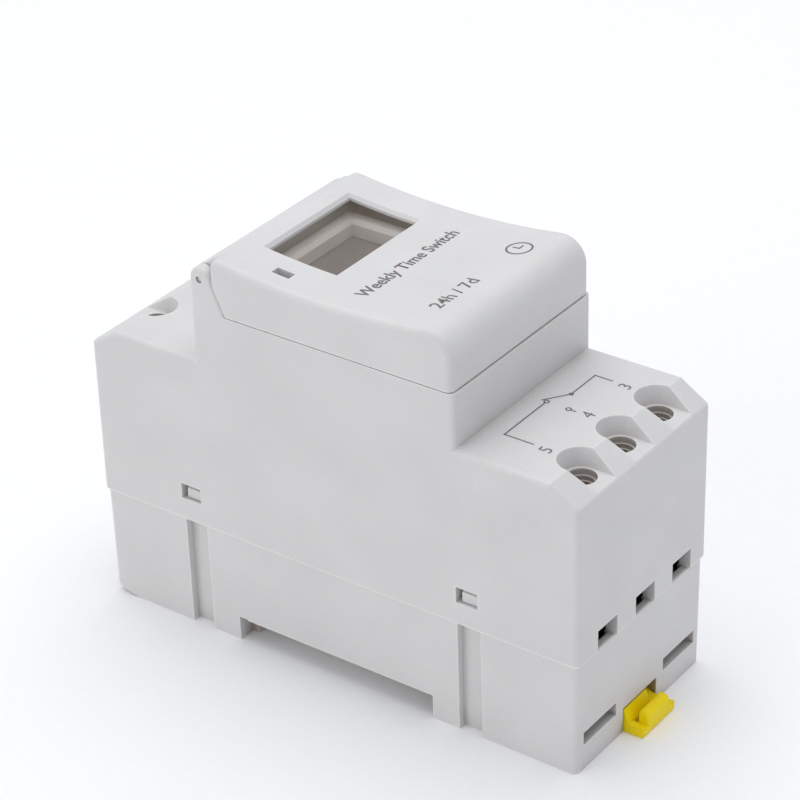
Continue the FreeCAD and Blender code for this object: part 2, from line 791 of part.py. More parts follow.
def crown(middle, radius, depth=0.0):
    """The arc that rounds an end of the dipped top, about a middle across: its middle's height and its
    meeting point with the dip, at a depth under the lid's surface."""
    centre = lid_low + lid_dip
    bow = lid_dip + depth
    reach = bow + radius
    fall = square_root(reach * reach - middle * middle)
    return centre - fall, (middle * bow / reach, centre - fall * bow / reach)


def lid_outline():
    """The lid from the side: slanted seam at the ear, dipped top, round latch end."""
    distance = ear_radius + seam_gap
    hinge_edge = ear_point(distance)
    bottom = rim + seam_gap
    latch_height, latch_crown = crown(lid_end - lid_corner, lid_corner)
    brow_height, brow_crown = crown(hinge_edge[0] + lid_brow, lid_brow)
    return [
        elbow_point(distance, bottom),
        (lid_end, bottom),
        (lid_end, latch_height),
        Arc(*latch_crown, lid_corner, 1),
        Arc(*brow_crown, lid_dip, -1),
        Arc(hinge_edge[0], brow_height, lid_brow, 1),
        hinge_edge,
    ]


def lid_hollow():
    """The hollow of the lid from the side."""
    stop = pin_across + 3.9
    inner_radius = lid_corner - lid_skin
    latch_height, latch_crown = crown(lid_end - lid_corner, inner_radius, lid_skin)
    return [
        (stop - 2.7, rim - 1.0),
        (lid_end - lid_skin, rim - 1.0),
        (lid_end - lid_skin, latch_height),
        Arc(*latch_crown, inner_radius, 1),
        Arc(stop, dip_height(stop, lid_skin), lid_dip + lid_skin, -1),
        (stop, pin_height - 1.25),
        (stop - 2.7, pin_height - 1.25),
    ]


def dip_height(across, depth):
    """The height of the surface at a depth under the lid's dipped top."""
    bow = lid_dip + depth
    return lid_low + lid_dip - square_root(bow * bow - across * across)


def dipped_slice(low, high, upper, lower):
    """An outline between two depths under the lid's dipped top."""
    return [
        (low, dip_height(low, lower)),
        Arc(high, dip_height(high, lower), lid_dip + lower, 1),
        (high, dip_height(high, upper)),
        Arc(low, dip_height(low, upper), lid_dip + upper, -1),
    ]


def make_lid():
    body = new_body("front_cover")
    pad(body, "XZ", -half_width, half_width, lid_outline())
    dress(body, "Fillet", lid_edge_radius, lid_edge)
    inner = half_width - lid_skin
    pocket(body, "XZ", -inner, inner, lid_hollow())
    # Seat of the window pane, under the top
    low, high, near_side, far_side = window_sides(pane_border + 0.2)
    pocket(body, "XZ", near_side, far_side, dipped_slice(low, high, pane_top - 0.02, lid_skin + 0.3))
    through = (lid_low - 3.5, lid_low + 3.0)
    pocket(body, "XY", *through, rectangle(*window_sides(0.0)))
    dress(body, "Chamfer", window_bevel, window_edge)
    pocket(body, "XY", *through, light_outline(0.0))
    # Hinge barrel between the ears, joined to the top
    barrel_half = half_width - wall - seam_gap
    inner_wall = pin_across + 3.9
    pad(body, "XZ", -barrel_half, barrel_half, [
        (pin_across + 0.3, pin_height - 1.0),
        (inner_wall, pin_height - 1.25),
        (inner_wall, dip_height(inner_wall, 0.1)),
        Arc(pin_across + 1.2, pin_height + 2.95, 3.6, 1),
        (pin_across - 0.2, pin_height + ear_radius - 0.05),
    ])
    pad(body, "XZ", -barrel_half, barrel_half, Circle(pin_across, pin_height, ear_radius))
    # Stubs that turn in the ears
    stub_half = half_width - pin_recess
    pad(body, "XZ", -stub_half, stub_half, Circle(pin_across, pin_height, pin_radius))


def window_sides(border):
    """The window's two sides across and two along, with a border all round."""
    half_across = window_length / 2 + border
    half_along = window_width / 2 + border
    return (window_across - half_across, window_across + half_across,
            window_along - half_along, window_along + half_along)


def light_outline(inset):
    """The opening over the status light, or something inside it."""
    half_across = light_length / 2 - inset
    half_along = light_width / 2 - inset
    return rectangle(light_across - half_across, light_across + half_across,
                     light_along - half_along, light_along + half_along)


def lid_edge(edge):
    """The long top edges, the edges of the latch end and its upright corners."""
    box = edge.BoundBox
    if upright(edge):
        return near(box.XMin, lid_end) and near(abs(box.YMin), half_width)
    if not flat_side(edge, half_width):
        return False
    return box.ZMin > (lid_low - 3.0).value and box.XMax > (pin_across + 2.3).value


def window_edge(edge):
    """The four edges of the window in the lid's outer face."""
    box = edge.BoundBox
    low, high, near_side, far_side = window_sides(0.0)
    at_sides = all(near(place, near_side) or near(place, far_side) for place in (box.YMin, box.YMax))
    at_ends = near(box.XMin, low) or near(box.XMax, high)
    ends_only = box.XLength < 0.01 or (near(box.XMin, low) and near(box.XMax, high))
    middle = edge.valueAt((edge.FirstParameter + edge.LastParameter) / 2)
    on_top = middle.z > dip_height(as_size(middle.x), 0.3).value
    return at_sides and at_ends and ends_only and on_top and not upright(edge)


def make_window():
    body = new_body("cover_window")
    low, high, near_side, far_side = window_sides(pane_border)
    pad(body, "XZ", near_side, far_side, dipped_slice(low, high, pane_top, pane_top + pane_thickness))


# ---------------------------------------------------------------- front panel, display and buttons

def make_front_panel():
    body = new_body("front_panel")
    side = half_width - wall - 0.2
    pad(body, "XY", panel_bottom, panel_top, rounded(
        neck_left + wall, neck_right - wall + 0.05, -side, side, 0.6))
    pad(body, "XY", panel_bottom, bezel_top, rounded(*display_sides(2.55), 0.8))
    dress(body, "Fillet", bezel_edge,
          lambda e: near(e.BoundBox.ZMin, bezel_top) and e.BoundBox.ZLength < 0.01)
    # Seat of the display glass, open from behind
    pocket(body, "XY", panel_bottom - 1.0, lcd_face + 0.05, rectangle(*display_sides(1.4)))
    pocket(body, "XY", lcd_face - 0.5, bezel_top + 0.9, rectangle(*display_sides(0.0)))
    pocket(body, "XY", bezel_bevel_bottom, bezel_top + 0.9, rectangle(*display_sides(0.0)), taper=bezel_slope)
    for name, (across, along, scale) in BUTTONS.items():
        pocket(body, "XY", panel_bottom - 1.0, panel_top + 1.0, Circle(
            across, along, button_radius * scale + 0.25))
    pocket(body, "XY", panel_bottom - 1.0, panel_top + 1.0, light_outline(0.0))
    # Bosses that carry the display board
    for across, along in BOSSES:
        pad(body, "XY", upper_top, panel_bottom + 0.1, Circle(across, along, 1.5))
        pocket(body, "XY", upper_top - 1.0, panel_bottom - 0.6, Circle(across, along, 0.95))


def display_sides(border):
    """The visible display's two sides across and two along, with a border all round."""
    half_across = display_length / 2 + border
    half_along = display_width / 2 + border
    return (window_across - half_across, window_across + half_across,
            window_along - half_along, window_along + half_along)


def make_button(name, across, along, scale):
    """A push button: cap, collar behind the panel, and the switch's plunger."""
    body = new_body(name)
    radius = button_radius * scale
    pad(body, "XY", panel_bottom - 0.2, button_top, Circle(across, along, radius))
    dress(body, "Fillet", soft_edge, lambda e: near(e.BoundBox.ZMin, button_top))
    pad(body, "XY", panel_bottom - 0.9, panel_bottom - 0.2, Circle(across, along, radius + 0.5))
    pad(body, "XY", upper_top + 1.35, panel_bottom - 0.9, Circle(across, along, 0.9))


def make_display():
    low, high, near_side, far_side = display_sides(1.2)
    glass_bottom = lcd_face - lcd_thickness
    glass = block("glass_plate", (low, high), (near_side, far_side), (glass_bottom, lcd_face))
    node(glass, "lcd_glass")
    strip_width = 1.8
    strips = [
        block(f"strip_{index}", (start, start + strip_width), (near_side + 0.2, far_side - 0.2),
              (upper_top, glass_bottom))
        for index, start in enumerate((low + 0.2, high - 0.2 - strip_width))
    ]
    node(several("strips", strips), "zebra_strips")
    led_top = upper_top + 0.8
    led = block("led_block", (light_across - 0.9, light_across + 0.9), (light_along - 0.5, light_along + 0.5),
                (upper_top, led_top))
    node(led, "status_led")
    guide = new_body("light_pipe")
    pad(guide, "XY", led_top + 0.1, 58.0, light_outline(0.15))
    switches = []
    for name, (across, along, _) in BUTTONS.items():
        case = block(f"{name}_case", (across - 2.2, across + 2.2), (along - 2.2, along + 2.2),
                     (upper_top, upper_top + 1.75))
        bore = rod(f"{name}_bore", across, along, upper_top + 0.6, 1.1, 2.0)
        switches.append(without(f"{name}_switch", case, bore))
    node(several("switches", switches), "tact_switches")


# ---------------------------------------------------------------- circuit boards and their parts

def make_boards():
    upper = new_body("display_board")
    pad(upper, "XY", upper_board, upper_top, rounded(-20.4, 20.4, -15.2, 15.2, 1.0))
    pocket(upper, "XY", upper_board - 1.0, upper_top + 1.0, *[
        Circle(across, along, 1.1) for across, along in BOSSES])
    lower = new_body("main_board")
    pad(lower, "XY", lower_board, lower_top, rounded(-31.6, 31.6, -13.6, 13.6, 1.0))
    screws = []
    for across, along in BOSSES:
        tag = f"screw_{len(screws)}"
        head = rod(f"{tag}_head", across, along, upper_board - 1.2, 1.8, 1.2)
        shank = rod(f"{tag}_shank", across, along, upper_board - 0.1, 0.9, 3.6)
        screws.append(fused(tag, head, shank))
    node(several("screws", screws), "board_screws")


def make_components():
    top = lower_top
    relay = softened("relay_case", block("relay_block", (-2.0, 26.6), (-13.2, -0.6), (top, top + 20.2)), 0.5)
    node(relay, "relay")
    film = block("film_block", (-27.0, -9.0), (-13.2, -5.7), (top, top + 13.0))
    node(softened("film_case", film, 0.8), "dropper_capacitor")
    can = rod("can", -7.5, 6.6, top, 4.0, 11.5)
    node(can, "smoothing_capacitor")
    cell = rod("cell", -20.5, 6.4, top, 5.8, 5.0)
    node(cell, "backup_battery")
    disc_radius, bead_radius, sleeve_radius, crystal_radius = 3.6, 1.25, 1.7, 1.0
    disc = rod("disc", 2.6, 8.2, top + disc_radius, disc_radius, 2.6, "X")
    node(disc, "varistor")
    beads = [rod(f"bead_{index}", 10.0, 3.0 + 3.2 * index, top + bead_radius, bead_radius, 5.2, "X")
             for index in range(3)]
    node(several("beads", beads), "rectifier_diodes")
    sleeve = rod("sleeve", 18.5, 2.4, top + sleeve_radius, sleeve_radius, 10.0, "Y")
    node(sleeve, "fuse_resistor")
    chip = block("chip_block", (1.0, 11.0), (-5.0, 5.0), (upper_board - 1.5, upper_board))
    node(chip, "controller_chip")
    crystal = rod("crystal_can", -8.0, 8.0, upper_board - crystal_radius, crystal_radius, 6.0, "X")
    node(crystal, "quartz_crystal")
    make_ribbon()


def make_ribbon():
    """The flat cable from the main board up to the display board."""
    body = new_body("board_ribbon")
    face, thickness = -5.0, 0.4
    pad(body, "XZ", -10.5, -0.5, rectangle(face, face + thickness, lower_top, upper_board))


# ---------------------------------------------------------------- terminals

def make_terminal(number, side, row):
    """Contact bar, clamping screw and rising clamp cage of one terminal."""
    centre = side * screw_across
    bar_top = bar_bottom + bar_thickness
    bar = new_body(f"contact_bar_{number}")
    tail, tip, fold = side * 30.2, side * 40.9, side * 31.0
    outline = [
        (tip, bar_bottom),
        (tip, bar_top),
        (tail, bar_top),
        (tail, lower_top),
        (fold, lower_top),
        (fold, bar_bottom),
    ]
    pad(bar, "XZ", row - 1.7, row + 1.7, outline)

    cage = new_body(f"clamp_cage_{number}")
    low, high = ordered(centre - cage_half, centre + cage_half)
    pad(cage, "XY", cage_bottom, bar_top + 1.5, rounded(low, high, row - 3.1, row + 3.1, 0.3))
    pocket(cage, "YZ", low - 1.0, high + 1.0, rectangle(row - 2.35, row + 2.35, cage_bottom + 1.0, bar_top + 0.2))
    pocket(cage, "XY", bar_top, bar_top + 3.0, Circle(centre, row, thread_radius + 0.05))

    screw = new_body(f"terminal_screw_{number}")
    head_top = head_bottom + head_height
    pad(screw, "XY", bar_top + 0.05, head_bottom + 0.1, Circle(centre, row, thread_radius))
    pad(screw, "XY", head_bottom, head_top, Circle(centre, row, head_radius))
    dress(screw, "Fillet", head_edge, lambda e: near(e.BoundBox.ZMin, head_top))
    for across_half, along_half in ((1.5, 0.35), (0.35, 1.5)):
        pocket(screw, "XY", head_top - 1.1, head_top + 1.0, rectangle(
            centre - across_half, centre + across_half, row - along_half, row + along_half))


# ---------------------------------------------------------------- the whole timer

make_front_housing()
make_base_housing()
make_rail_clip()
make_lid()
make_window()
make_front_panel()
for button, (across, along, scale) in BUTTONS.items():
    make_button(button, across, along, scale)
make_display()
make_boards()
make_components()
for number, (side, row) in TERMINALS.items():
    make_terminal(number, side, row)
doc.recompute()

for thing in doc.Objects:
    if "Invalid" in thing.State or "Error" in thing.State:
        raise RuntimeError(f"{thing.Name} failed: {thing.State}")
for name, thing in NODES.items():
    if thing.Shape.isNull() or not thing.Shape.isValid():
        raise RuntimeError(f"{name} has no valid shape")
for name, thing in NODES.items():
    thing.Shape.exportStep(f"parts/{name}.step")
print(f"{len(NODES)} nodes written")
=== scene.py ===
"""The looks of the two-module DIN rail timer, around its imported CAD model.

Everything is in metres in the CAD's own frame: X runs from the supply terminals to the relay terminals,
Y along the rail, Z out of the front. The origin is the middle of the rail seat.
"""
import json
import math

import bmesh
import bpy
from mathutils import Euler, Matrix, Vector


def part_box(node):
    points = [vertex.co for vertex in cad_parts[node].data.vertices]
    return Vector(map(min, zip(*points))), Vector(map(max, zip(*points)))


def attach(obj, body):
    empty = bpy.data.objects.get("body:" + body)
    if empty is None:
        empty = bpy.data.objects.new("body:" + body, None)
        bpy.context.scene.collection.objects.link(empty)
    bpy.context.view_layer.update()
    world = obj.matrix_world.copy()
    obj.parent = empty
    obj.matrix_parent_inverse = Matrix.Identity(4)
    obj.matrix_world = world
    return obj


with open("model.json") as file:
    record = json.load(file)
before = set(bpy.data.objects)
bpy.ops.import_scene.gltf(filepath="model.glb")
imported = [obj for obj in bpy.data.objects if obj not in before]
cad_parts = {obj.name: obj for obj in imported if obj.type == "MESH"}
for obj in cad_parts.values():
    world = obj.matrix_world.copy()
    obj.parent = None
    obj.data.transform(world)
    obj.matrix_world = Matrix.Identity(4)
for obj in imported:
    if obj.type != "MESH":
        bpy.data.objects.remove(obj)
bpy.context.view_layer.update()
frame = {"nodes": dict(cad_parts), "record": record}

MM = 0.001


# ---------------------------------------------------------------- places on the CAD model

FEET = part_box("base_housing")[0].z
SEAM_LINE = 14.98 * MM      # middle of the painted highlight along the front housing's rounded lower edge
SEAM_HALF = 0.17 * MM       # half the height of that line
WELL_ZONE = 15.3 * MM       # the wells, slots and wire entries lie at Y from minus this to plus this; the painted shade stays within it
LID_DIP = 128.0 * MM        # radius of the lid's dipped top
LID_LOWEST = 60.25 * MM     # its lowest line, at X = 0
DECK = 43.85 * MM           # height of the terminal decks
PANEL_FACE = 52.6 * MM      # outer face of the front panel


def lid_surface(across):
    """The height of the lid's dipped top, which changes only along X."""
    return LID_LOWEST + LID_DIP - math.sqrt(LID_DIP ** 2 - across ** 2)


def flat_surface(height):
    """A surface of constant height, such as a deck."""
    return lambda across: height


def added(name, content):
    """A new object that holds a mesh, curve, lamp or camera, put into the scene."""
    holder = bpy.data.objects.new(name, content)
    bpy.context.scene.collection.objects.link(holder)
    return holder


# ---------------------------------------------------------------- material building blocks

WHITE = (1.0, 1.0, 1.0)
EDGE_SAMPLES = 6
SHADE_SAMPLES = 8
NOISE_LOW, NOISE_HIGH = 0.3, 0.7        # most of a noise lies between these
EDGE_SHARP, EDGE_FLAT = 0.92, 0.998     # how far true and rounded normal agree on an edge, and beside it
SKY_SHUT, SKY_OPEN = 0.22, 0.62         # share of open sky at which the painted shade is full, and gone

# A Mix node has several sockets of each name, so those for colours are taken by number.
MIX_FACTOR, MIX_FIRST, MIX_SECOND, MIX_RESULT = 0, 6, 7, 2


class Shader:
    """A node tree around one Principled shader, built up step by step."""

    def __init__(self, name, **constants):
        self.material = bpy.data.materials.new(name)
        self.material.use_nodes = True
        self.nodes = self.material.node_tree.nodes
        self.links = self.material.node_tree.links
        self.principled = self.nodes["Principled BSDF"]
        for socket, value in constants.items():
            self.principled.inputs[socket.replace("_", " ")].default_value = value
        self.place = self.nodes.new("ShaderNodeTexCoord").outputs["Object"]

    def feed(self, source, node, socket):
        """Gives a node's input a socket's output, a colour or a number."""
        if isinstance(source, bpy.types.NodeSocket):
            self.links.new(source, node.inputs[socket])
        elif isinstance(source, tuple):
            node.inputs[socket].default_value = (*source, 1.0)
        else:
            node.inputs[socket].default_value = source

    def noise(self, feature, detail=3.0, roughness=0.55, stretch=None):
        """Noise whose lumps are about one feature wide, in metres."""
        texture = self.nodes.new("ShaderNodeTexNoise")
        texture.inputs["Scale"].default_value = 1.0 / feature
        texture.inputs["Detail"].default_value = detail
        texture.inputs["Roughness"].default_value = roughness
        self.feed(self.stretched(stretch), texture, "Vector")
        return texture.outputs["Fac"]

    def cells(self, feature):
        """Round cells about one feature apart, in metres."""
        texture = self.nodes.new("ShaderNodeTexVoronoi")
        texture.inputs["Scale"].default_value = 1.0 / feature
        self.feed(self.place, texture, "Vector")
        return texture.outputs["Distance"]

    def stretched(self, stretch):
        """The place on the object, multiplied along each axis unless stretch is None."""
        if stretch is None:
            return self.place
        mapping = self.nodes.new("ShaderNodeMapping")
        mapping.inputs["Scale"].default_value = stretch
        self.feed(self.place, mapping, "Vector")
        return mapping.outputs["Vector"]

    def along_axis(self, letter):
        """The place on the object along X, Y or Z."""
        axes = self.nodes.new("ShaderNodeSeparateXYZ")
        self.feed(self.place, axes, "Vector")
        return axes.outputs[letter]

    def maths(self, operation, *operands):
        """The result of a Math node. An operand is a socket's output or a number."""
        node = self.nodes.new("ShaderNodeMath")
        node.operation = operation
        for index, operand in enumerate(operands):
            self.feed(operand, node, index)
        return node.outputs["Value"]

    def ramp(self, source, stops):
        """Turns a number into a colour or a level through stops of (place, colour or level)."""
        ramp = self.nodes.new("ShaderNodeValToRGB")
        elements = ramp.color_ramp.elements
        for index, (place, value) in enumerate(stops):
            element = elements[index] if index < 2 else elements.new(place)
            element.position = place
            element.color = (*value, 1.0) if isinstance(value, tuple) else (value, value, value, 1.0)
        self.feed(source, ramp, "Fac")
        return ramp.outputs["Color"]

    def between(self, noise, low, high):
        """Blends two colours or levels by a noise."""
        return self.ramp(noise, [(NOISE_LOW, low), (NOISE_HIGH, high)])

    def mixed(self, factor, first, second, kind="MIX"):
        """Mixes two colours, each a socket or a plain colour."""
        mix = self.nodes.new("ShaderNodeMix")
        mix.data_type = "RGBA"
        mix.blend_type = kind
        self.feed(factor, mix, MIX_FACTOR)
        self.feed(first, mix, MIX_FIRST)
        self.feed(second, mix, MIX_SECOND)
        return mix.outputs[MIX_RESULT]

    def painted_corner_shade(self, source, reach, tint, within):
        """Paints shade into a colour: darkens it towards a tint where the surface is shut in, as in a bore or
        a slot.

        It works at Y from -within to within, and fades out over the next millimetre."""
        open_sky = self.nodes.new("ShaderNodeAmbientOcclusion")
        open_sky.samples = SHADE_SAMPLES
        open_sky.inputs["Distance"].default_value = reach
        shade = self.ramp(open_sky.outputs["AO"], [(SKY_SHUT, tint), (SKY_OPEN, WHITE)])
        fade = self.nodes.new("ShaderNodeMapRange")
        self.feed(self.maths("ABSOLUTE", self.along_axis("Y")), fade, "Value")
        self.feed(within, fade, "From Min")
        self.feed(within + MM, fade, "From Max")
        self.feed(1.0, fade, "To Min")
        self.feed(0.0, fade, "To Max")
        return self.mixed(fade.outputs["Result"], source, self.mixed(1.0, source, shade, "MULTIPLY"))

    def painted_band_highlight(self, source, middle, half_height, lightened):
        """Paints a highlight into a colour in a narrow band about one height, such as along a parting edge.
        """
        inside = self.maths("COMPARE", self.along_axis("Z"), middle, half_height)
        return self.mixed(inside, source, lightened)

    def painted_edge_highlight(self, source, radius, lightened):
        """Paints a highlight into a colour along the edges, where light catches the rounded plastic."""
        geometry = self.nodes.new("ShaderNodeNewGeometry")
        agreement = self.nodes.new("ShaderNodeVectorMath")
        agreement.operation = "DOT_PRODUCT"
        self.feed(geometry.outputs["True Normal"], agreement, 0)
        self.feed(self.soft_edges(radius), agreement, 1)
        amount = self.ramp(agreement.outputs["Value"], [(EDGE_SHARP, 1.0), (EDGE_FLAT, 0.0)])
        return self.mixed(amount, source, lightened)

    def colour(self, source):
        self.feed(source, self.principled, "Base Color")

    def roughness(self, source):
        self.feed(source, self.principled, "Roughness")

    def soft_edges(self, radius):
        """The normal, with sharp edges rounded off."""
        bevel = self.nodes.new("ShaderNodeBevel")
        bevel.samples = EDGE_SAMPLES
        bevel.inputs["Radius"].default_value = radius
        return bevel.outputs["Normal"]

    def bumps(self, layers, edge=None):
        """Stacks bump layers of (height source, depth in metres), over softened edges if an edge is given."""
        normal = self.soft_edges(edge) if edge else None
        for source, depth in layers:
            bump = self.nodes.new("ShaderNodeBump")
            bump.inputs["Distance"].default_value = depth
            self.feed(source, bump, "Height")
            if normal is not None:
                self.feed(normal, bump, "Normal")
            normal = bump.outputs["Normal"]
        self.feed(normal, self.principled, "Normal")


def shaded(colour, factor):
    """A colour made lighter or darker."""
    return tuple(min(1.0, channel * factor) for channel in colour)


# ---------------------------------------------------------------- kinds of material

SPARK_GRAIN = 0.16 * MM      # grain that a spark-eroded mould leaves
SPECK = 0.35 * MM
FLOW_CLOUD = 14 * MM         # cloudiness from the way the plastic flowed in
SHEEN_PATCH = 5 * MM
RIPPLE = 9 * MM
RIPPLE_DEPTH = 0.02 * MM
# width of the painted highlight along the edges
EDGE_HIGHLIGHT_WIDTH = 0.45 * MM
SHADE_REACH = 5 * MM         # how far away a wall still adds painted shade to a shut-in place

HOUSING = (0.690, 0.680, 0.676)
# colour of the painted highlight along the plastic's edges
EDGE_HIGHLIGHT = (0.80, 0.785, 0.765)
# colour of the painted highlight along the seam, where the rounded lower edge catches light from the floor
SEAM_HIGHLIGHT = (0.84, 0.83, 0.81)
# tint of the painted shade in the housing's wells, slots and wire entries
PAINTED_SHADE = (0.50, 0.44, 0.39)


def moulded(name, colour, depth=0.006 * MM, rough=(0.40, 0.52), edge=0.10 * MM, spread=0.03,
            painted_edge_highlights=False, painted_housing_light=False, **constants):
    """Injection-moulded plastic: spark-eroded grain, faint flow clouds and softened edges.

    The housing's painted light is a painted highlight along its seam and painted shade in its wells, slots
    and wire entries."""
    shader = Shader(name, **constants)
    clouds = shader.noise(FLOW_CLOUD, detail=2.0)
    tint = shader.between(clouds, shaded(colour, 1 - spread), shaded(colour, 1 + spread))
    specks = shader.ramp(shader.noise(SPECK, detail=1.0), [(0.25, 0.965), (0.6, 1.0)])
    look = shader.mixed(1.0, tint, specks, "MULTIPLY")
    if painted_edge_highlights:
        # painted highlight along the edges
        look = shader.painted_edge_highlight(look, EDGE_HIGHLIGHT_WIDTH, EDGE_HIGHLIGHT)
    if painted_housing_light:
        # painted highlight along the seam
        look = shader.painted_band_highlight(look, SEAM_LINE, SEAM_HALF, SEAM_HIGHLIGHT)
        # painted shade in the wells, slots and wire entries
        look = shader.painted_corner_shade(look, SHADE_REACH, PAINTED_SHADE, WELL_ZONE)
    shader.colour(look)
    sheen = shader.noise(SHEEN_PATCH, detail=4.0)
    shader.roughness(shader.between(sheen, *rough))
    grain = shader.noise(SPARK_GRAIN, detail=2.0)
    ripples = shader.noise(RIPPLE, detail=1.0)
    shader.bumps([(grain, depth), (ripples, RIPPLE_DEPTH)], edge)
    return shader.material


def plated(name, colour, rough=(0.24, 0.38)):
    """Plated or drawn metal, with fine lines and a mottled plating."""
    shader = Shader(name, Metallic=1.0)
    mottle = shader.noise(0.8 * MM, detail=4.0)
    shader.colour(shader.between(mottle, shaded(colour, 0.82), colour))
    lines = shader.noise(1.1 * MM, detail=5.0, stretch=(1.0, 1.0, 14.0))
    shader.roughness(shader.between(lines, *rough))
    shader.bumps([(lines, 0.004 * MM)], 0.12 * MM)
    return shader.material


def smoke_pane(name):
    """The smoke-tinted clear pane of the lid, with faint mould waviness and dust."""
    shader = Shader(name, Alpha=0.15, IOR=1.49)
    waves = shader.noise(6 * MM, detail=1.0)
    shader.colour(shader.between(waves, (0.42, 0.34, 0.25), (0.50, 0.41, 0.31)))
    dust = shader.noise(0.6 * MM, detail=5.0, roughness=0.7)
    shader.roughness(shader.ramp(dust, [(0.62, 0.03), (0.80, 0.22)]))
    shader.bumps([(waves, 0.012 * MM)])
    return shader.material


def frosted_guide(name):
    """The light guide, frosted all over so that little shows through it."""
    shader = Shader(name, Transmission_Weight=0.12, IOR=1.49)
    frost = shader.noise(0.3 * MM, detail=4.0)
    shader.colour(shader.between(frost, (0.86, 0.82, 0.76), (0.94, 0.91, 0.86)))
    shader.roughness(shader.between(frost, 0.25, 0.5))
    shader.bumps([(frost, 0.01 * MM)], 0.1 * MM)
    return shader.material


def display_glass(name):
    """The dark-grey display, with the faint lines of its polariser."""
    shader = Shader(name, IOR=1.5, Coat_Weight=0.6, Coat_Roughness=0.08)
    clouds = shader.noise(8 * MM, detail=2.0)
    tint = shader.between(clouds, (0.155, 0.148, 0.168), (0.190, 0.182, 0.203))
    film = shader.noise(0.25 * MM, detail=1.0, stretch=(1.0, 9.0, 1.0))
    shader.colour(shader.mixed(1.0, tint, shader.between(film, 0.94, 1.0), "MULTIPLY"))
    shader.roughness(shader.between(clouds, 0.26, 0.34))
    shader.bumps([(film, 0.002 * MM)], 0.1 * MM)
    return shader.material


def solder_mask(name):
    """A green circuit board with the weave and buried tracks showing through."""
    shader = Shader(name, Coat_Weight=0.3, Coat_Roughness=0.2)
    weave = shader.noise(0.5 * MM, detail=1.0, stretch=(1.0, 4.0, 1.0))
    tracks = shader.cells(2.4 * MM)
    copper = shader.ramp(tracks, [(0.44, (0.045, 0.235, 0.105)), (0.50, (0.075, 0.32, 0.15))])
    shader.colour(shader.mixed(1.0, copper, shader.between(weave, 0.86, 1.0), "MULTIPLY"))
    shader.roughness(shader.between(weave, 0.32, 0.46))
    shader.bumps([(weave, 0.004 * MM), (tracks, 0.02 * MM)], 0.08 * MM)
    return shader.material


def rubbed_ink(name, colour):
    """Pad-printed ink, thin in places and slightly broken."""
    shader = Shader(name)
    thin = shader.noise(0.45 * MM, detail=4.0, roughness=0.7)
    worn = [(0.30, colour), (0.62, shaded(colour, 1.25)), (0.85, shaded(colour, 1.9))]
    shader.colour(shader.ramp(thin, worn))
    shader.roughness(shader.between(thin, 0.45, 0.62))
    shader.bumps([(thin, 0.003 * MM)])
    return shader.material


# ---------------------------------------------------------------- the materials, by slot

MATERIALS = {
    "housing_plastic": moulded("housing_plastic", HOUSING, painted_edge_highlights=True, painted_housing_light=True,
                               Subsurface_Weight=0.12, Subsurface_Scale=0.6 * MM),
    "lid_plastic": moulded("lid_plastic", shaded(HOUSING, 1.015), painted_edge_highlights=True,
                           Subsurface_Weight=0.12, Subsurface_Scale=0.6 * MM),
    "window_plastic": smoke_pane("window_plastic"),
    "clip_plastic": moulded("clip_plastic", (1.0, 0.745, 0.0), rough=(0.42, 0.54), edge=0.25 * MM,
                            Subsurface_Weight=0.2, Subsurface_Scale=0.8 * MM, IOR=1.34),
    "panel_plastic": moulded("panel_plastic", (0.81, 0.80, 0.79)),
    "button_plastic": moulded("button_plastic", (0.17, 0.175, 0.19), rough=(0.36, 0.48)),
    "display_glass": display_glass("display_glass"),
    "clear_plastic": frosted_guide("clear_plastic"),
    "steel": plated("steel", (0.62, 0.61, 0.58)),
    "dark_steel": plated("dark_steel", (0.045, 0.042, 0.040), rough=(0.42, 0.58)),
    "copper_alloy": plated("copper_alloy", (0.76, 0.60, 0.34)),
    "circuit_board": solder_mask("circuit_board"),
    "black_plastic": moulded("black_plastic", (0.035, 0.035, 0.038), rough=(0.42, 0.56), spread=0.12),
    "relay_case": moulded("relay_case", (0.055, 0.055, 0.062), rough=(0.30, 0.44), spread=0.10),
    "film_case": moulded("film_case", (0.46, 0.045, 0.02), rough=(0.18, 0.30), spread=0.10, depth=0.012 * MM),
    "component_sleeve": moulded("component_sleeve", (0.045, 0.09, 0.24), rough=(0.20, 0.34), spread=0.10),
    "cell_case": plated("cell_case", (0.68, 0.67, 0.66), rough=(0.22, 0.34)),
    "elastomer": moulded("elastomer", (0.12, 0.12, 0.125), rough=(0.62, 0.78), spread=0.15),
    "ribbon": moulded("ribbon", (0.66, 0.65, 0.62), rough=(0.40, 0.52)),
    "led_lens": moulded("led_lens", (0.62, 0.10, 0.08), rough=(0.16, 0.26)),
}
INK = rubbed_ink("print_ink", (0.15, 0.138, 0.138))
GHOST = rubbed_ink("display_segments", (0.165, 0.158, 0.170))


def dress_nodes():
    """Gives every CAD node the material of its slot, and the lid its own."""
    for subpart in frame["record"]["subparts"]:
        name = subpart["node"]
        slot = subpart["material_slot"]
        mesh = frame["nodes"][name].data
        mesh.materials.clear()
        mesh.materials.append(MATERIALS["lid_plastic" if name == "front_cover" else slot])


# ---------------------------------------------------------------- printing

INK_DEPTH = 0.02 * MM
INK_LIFT = 0.006 * MM       # gap under the ink, so that it doesn't flicker with the plastic
WELD = 0.002 * MM           # points closer than this become one
SLIVER = 0.001 * MM         # edges shorter than this are dissolved


